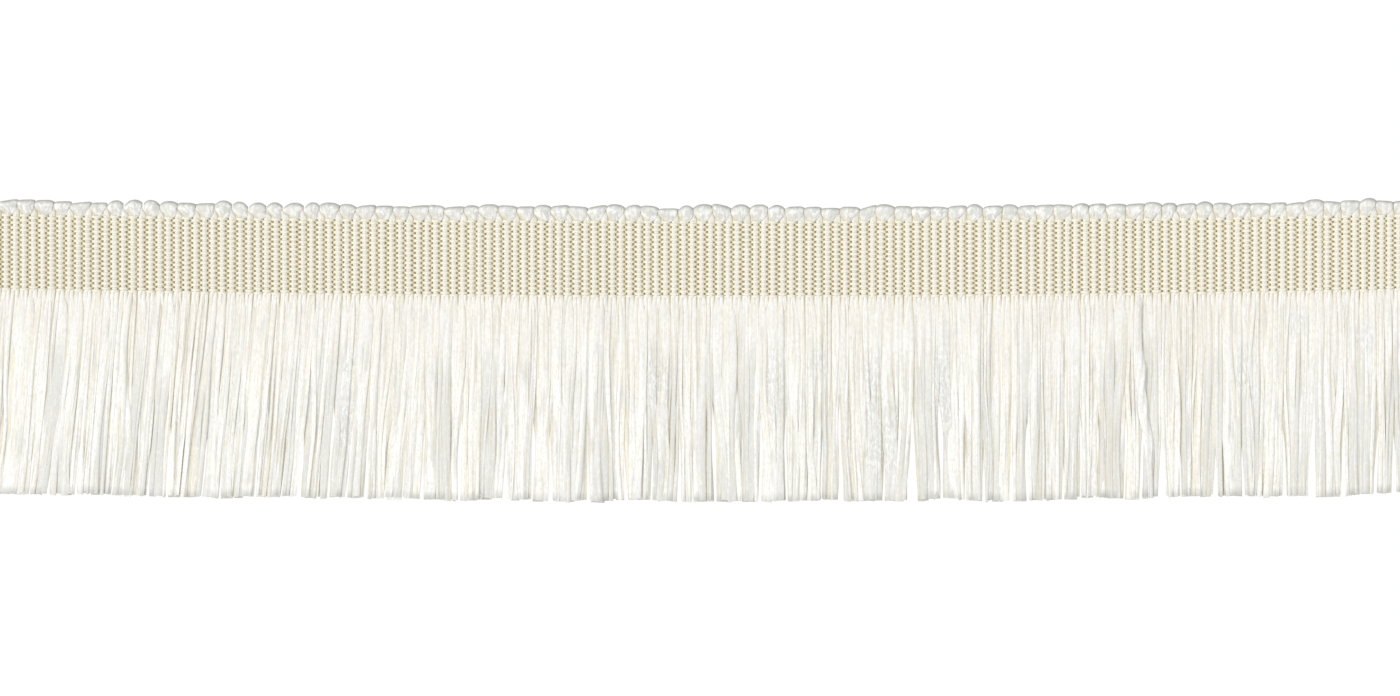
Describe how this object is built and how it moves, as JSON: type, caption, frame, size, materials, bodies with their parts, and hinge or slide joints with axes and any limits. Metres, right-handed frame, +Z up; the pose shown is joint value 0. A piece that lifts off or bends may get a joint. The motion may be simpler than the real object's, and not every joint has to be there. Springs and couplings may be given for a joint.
{
  "type": "raffia fringe trim",
  "caption": "Flat length of raffia fringe trim: a ribbed woven heading with raffia loops along its top edge and a skirt of cut raffia strands below.",
  "frame": {"origin": "middle of the lying trim's box, at the height of the surface that it lies on", "axes": "+X along the trim, +Y from the strands' tips to the loops, +Z up out of its face"},
  "size_m": [0.3698, 0.0784, 0.0022],
  "materials": {
    "heading": "matt cream yarn woven tightly over raffia ribs",
    "loops": "pearly translucent raffia, puffed and creased",
    "skirt": "satin ivory raffia ribbons with lengthwise creases"
  },
  "bodies": {
    "root": {"heading_band": "heading", "edge_loops": "loops", "raffia_skirt": "skirt"}
  },
  "joints": []
}
